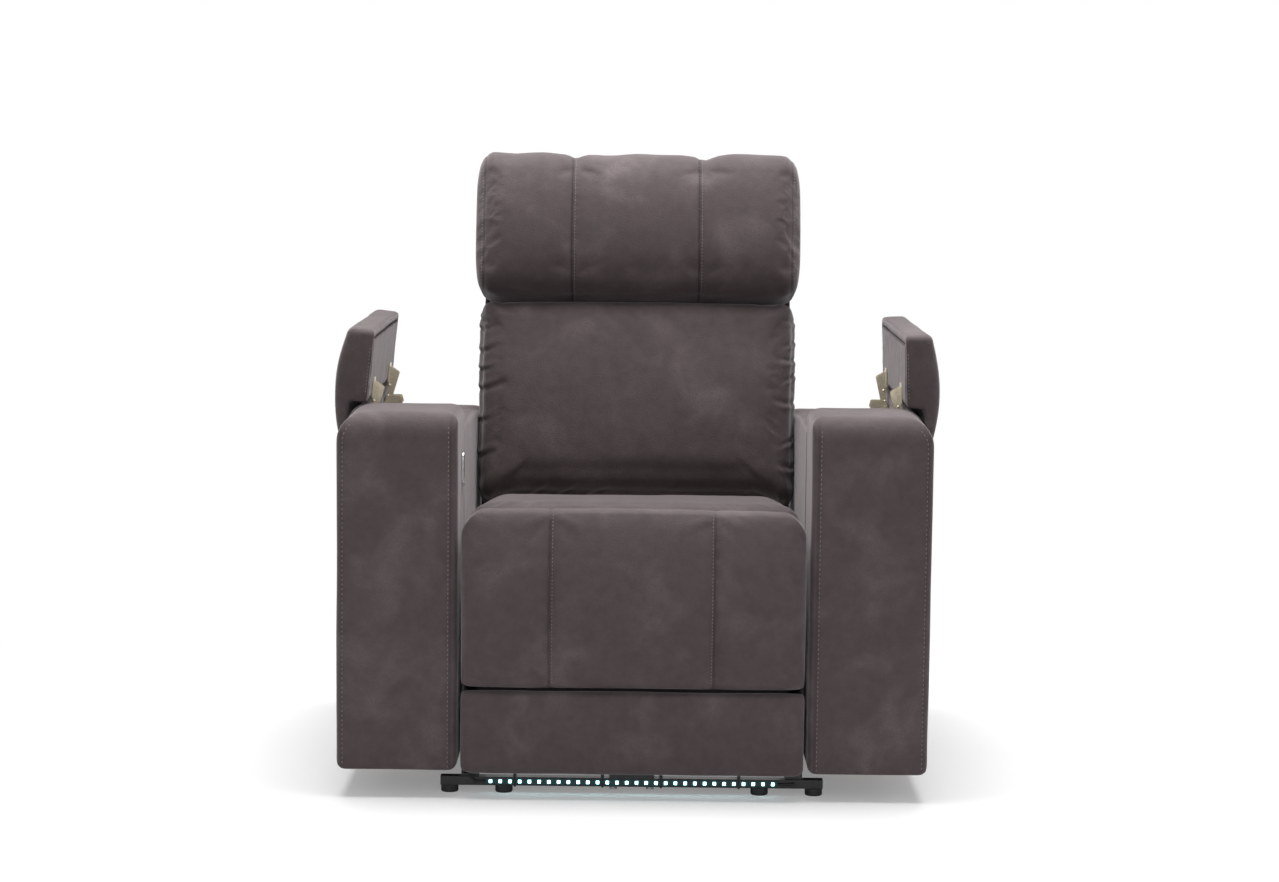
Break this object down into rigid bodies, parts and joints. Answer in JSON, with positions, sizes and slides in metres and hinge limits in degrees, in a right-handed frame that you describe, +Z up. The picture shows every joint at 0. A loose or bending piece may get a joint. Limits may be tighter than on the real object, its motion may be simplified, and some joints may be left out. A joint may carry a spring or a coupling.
{
  "type": "power recliner cinema seat",
  "caption": "Upholstered power recliner seat with fold-out footrest, tilting headrest, wide arms with open lidded storage bins and a light strip below the front.",
  "frame": {"origin": "centre of the bounding box at the floor", "axes": "+Z up, -Y the way the sitter faces, +X the sitter's left"},
  "size_m": [1.0548, 0.904, 1.0851],
  "materials": {
    "upholstery": "soft brushed suede with a fine pebble grain",
    "covered_board": "plywood covered with thin cloth",
    "plywood": "raw plywood",
    "bin_plastic": "matte",
    "black_steel": "satin powder coat",
    "plain_steel": "satin",
    "yellow_zinc": "yellow zinc plate",
    "black_plastic": "matte",
    "switch_plastic": "glossy",
    "chrome": "polished",
    "light_tape": "matte",
    "light_chip": "glossy"
  },
  "bodies": {
    "base": {"cross_bars": "black_steel", "floor_glides": "black_plastic", "base_side_plates": "black_steel", "slide_channels": "black_steel", "base_bolts": "plain_steel", "centre_bracket": "black_steel", "led_tape": "light_tape", "led_chips": "light_chip", "cable_ties": "black_plastic", "led_leads": "black_plastic", "power_inlet": "black_plastic", "left_arm_front_block": "upholstery", "left_arm_inner_panel": "upholstery", "left_arm_outer_panel": "upholstery", "left_arm_rear_block": "upholstery", "left_storage_bin": "bin_plastic", "right_arm_front_block": "upholstery", "right_arm_inner_panel": "upholstery", "right_arm_outer_panel": "upholstery", "right_arm_rear_block": "upholstery", "right_storage_bin": "bin_plastic", "arm_frames": "plywood", "lid_hinge_brackets": "yellow_zinc", "lid_hinge_pins": "yellow_zinc", "switch_bezel": "chrome", "switch_body": "black_plastic"},
    "left_lid": {"left_lid_pad": "upholstery", "left_lid_board": "covered_board", "left_lid_hinge_leaves": "yellow_zinc"},
    "right_lid": {"right_lid_pad": "upholstery", "right_lid_board": "covered_board", "right_lid_hinge_leaves": "yellow_zinc"},
    "footrest_rocker": {"footrest_rocker": "switch_plastic"},
    "back_rocker": {"back_rocker": "switch_plastic"},
    "seat": {"seat_deck": "plywood", "seat_springs": "plain_steel", "seat_cushion": "upholstery", "seat_side_plates": "black_steel", "seat_sliders": "black_plastic", "seat_cross_tubes": "black_steel", "footrest_motor": "black_plastic", "recline_motor": "black_plastic", "back_hinge_pins": "plain_steel"},
    "footrest_motor_rod": {"footrest_motor_rod": "plain_steel"},
    "recline_motor_rod": {"recline_motor_rod": "plain_steel"},
    "footrest_drive": {"footrest_drive_tube": "black_steel"},
    "footrest_links": {"footrest_links": "black_steel", "footrest_link_pins": "plain_steel"},
    "footrest": {"footrest_brackets": "black_steel", "footrest_board": "plywood", "footrest_pad": "upholstery", "footrest_lower_panel": "upholstery"},
    "back": {"back_frame": "plywood", "back_brackets": "black_steel", "back_cushion": "upholstery", "back_outer_cover": "upholstery", "headrest_pins": "plain_steel"},
    "headrest": {"headrest_arms": "black_steel", "headrest_board": "covered_board", "headrest_cushion": "upholstery"}
  },
  "joints": [
    {"name": "left_lid_hinge", "type": "hinge", "parent": "base", "child": "left_lid", "pos_m": [0.4665, 0, 0.617], "axis": [0, -1, 0], "range_deg": [0, 88]},
    {"name": "right_lid_hinge", "type": "hinge", "parent": "base", "child": "right_lid", "pos_m": [-0.4665, 0, 0.617], "axis": [0, 1, 0], "range_deg": [0, 84]},
    {"name": "footrest_rocker_tilt", "type": "hinge", "parent": "base", "child": "footrest_rocker", "pos_m": [-0.297, -0.302, 0.5625], "axis": [0, 1, 0], "range_deg": [-6, 6], "stiffness_Nm_per_rad": 0.17},
    {"name": "back_rocker_tilt", "type": "hinge", "parent": "base", "child": "back_rocker", "pos_m": [-0.297, -0.302, 0.5375], "axis": [0, 1, 0], "range_deg": [-6, 6], "stiffness_Nm_per_rad": 0.17},
    {"name": "seat_slide", "type": "slide", "parent": "base", "child": "seat", "axis": [0, -1, 0], "range_m": [0, 0.0702]},
    {"name": "back_recline", "type": "hinge", "parent": "seat", "child": "back", "pos_m": [0, 0.15, 0.38], "axis": [-1, 0, 0], "range_deg": [0, 36]},
    {"name": "recline_rod_slide", "type": "slide", "parent": "seat", "child": "recline_motor_rod", "axis": [0, -1, 0], "range_m": [0, 0.0558]},
    {"name": "headrest_tilt", "type": "hinge", "parent": "back", "child": "headrest", "pos_m": [0, 0.21533, 0.79573], "axis": [1, 0, 0], "range_deg": [0, 30]},
    {"name": "footrest_drive_turn", "type": "hinge", "parent": "seat", "child": "footrest_drive", "pos_m": [0, -0.3096, 0.3526], "axis": [-1, 0, 0], "range_deg": [0, 24.1]},
    {"name": "footrest_link_turn", "type": "hinge", "parent": "footrest_drive", "child": "footrest_links", "pos_m": [0, -0.35064, 0.23984], "axis": [1, 0, 0], "range_deg": [0, 47.8]},
    {"name": "footrest_swing", "type": "hinge", "parent": "footrest_links", "child": "footrest", "pos_m": [0, -0.37709, 0.42799], "axis": [-1, 0, 0], "range_deg": [0, 109.7]},
    {"name": "footrest_rod_slide", "type": "slide", "parent": "seat", "child": "footrest_motor_rod", "axis": [0, -1, 0], "range_m": [0, 0.0376]}
  ],
  "couplings": [
    {"joint": "seat_slide", "follows": "back_recline", "m_per_rad": 0.11141},
    {"joint": "recline_rod_slide", "follows": "back_recline", "m_per_rad": 0.088527},
    {"joint": "footrest_drive_turn", "follows": "footrest_swing", "ratio": 0.21878},
    {"joint": "footrest_link_turn", "follows": "footrest_swing", "ratio": 0.43482},
    {"joint": "footrest_rod_slide", "follows": "footrest_swing", "m_per_rad": 0.019546}
  ]
}
